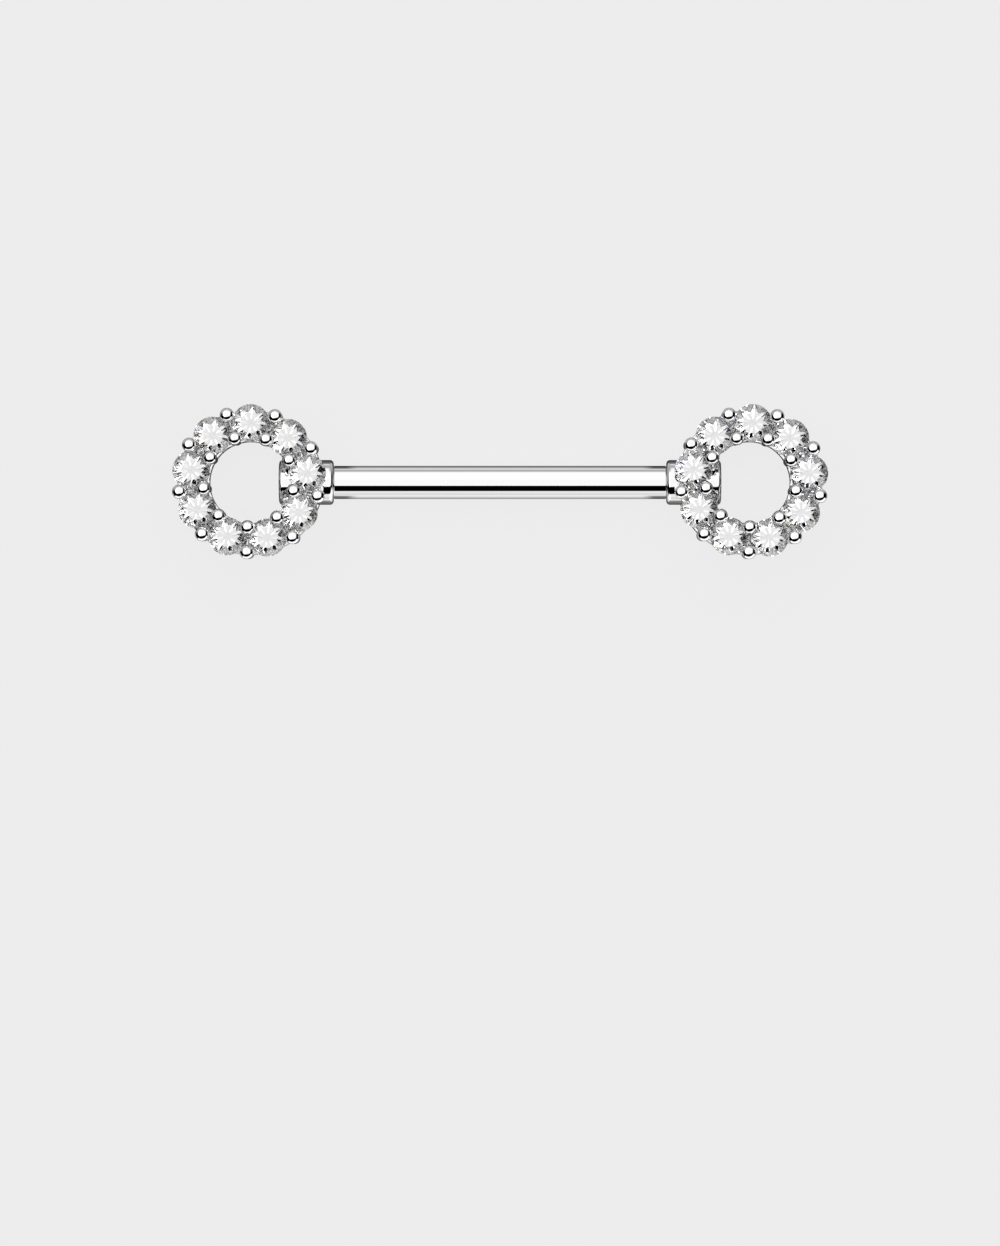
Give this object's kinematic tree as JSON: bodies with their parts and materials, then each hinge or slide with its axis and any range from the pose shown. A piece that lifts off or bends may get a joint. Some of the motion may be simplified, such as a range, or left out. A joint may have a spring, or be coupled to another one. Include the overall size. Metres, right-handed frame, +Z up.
{
  "type": "nipple barbell",
  "caption": "Straight barbell jewel: a polished steel shaft that screws at each end into a flat open ring of claw-set round white stones.",
  "frame": {"origin": "middle of the whole piece, on the surface that it lies on", "axes": "+X along the shaft, +Z up out of the tables of the stones; both rings lie flat on their backs"},
  "size_m": [0.0314, 0.0074, 0.0032],
  "materials": {
    "steel": "mirror-polished surgical steel",
    "stone": "clear white brilliant-cut cubic zirconia"
  },
  "bodies": {
    "shaft": {"shaft": "steel"},
    "left_end": {"left_head": "steel", "left_stone_1": "stone", "left_stone_2": "stone", "left_stone_3": "stone", "left_stone_4": "stone", "left_stone_5": "stone", "left_stone_6": "stone", "left_stone_7": "stone", "left_stone_8": "stone", "left_stone_9": "stone"},
    "right_end": {"right_head": "steel", "right_stone_1": "stone", "right_stone_2": "stone", "right_stone_3": "stone", "right_stone_4": "stone", "right_stone_5": "stone", "right_stone_6": "stone", "right_stone_7": "stone", "right_stone_8": "stone", "right_stone_9": "stone"}
  },
  "joints": [
    {"name": "left_head_off", "type": "slide", "parent": "shaft", "child": "left_end", "axis": [-1, 0, 0], "range_m": [0, 0.02]},
    {"name": "right_head_off", "type": "slide", "parent": "shaft", "child": "right_end", "axis": [1, 0, 0], "range_m": [0, 0.02]}
  ]
}
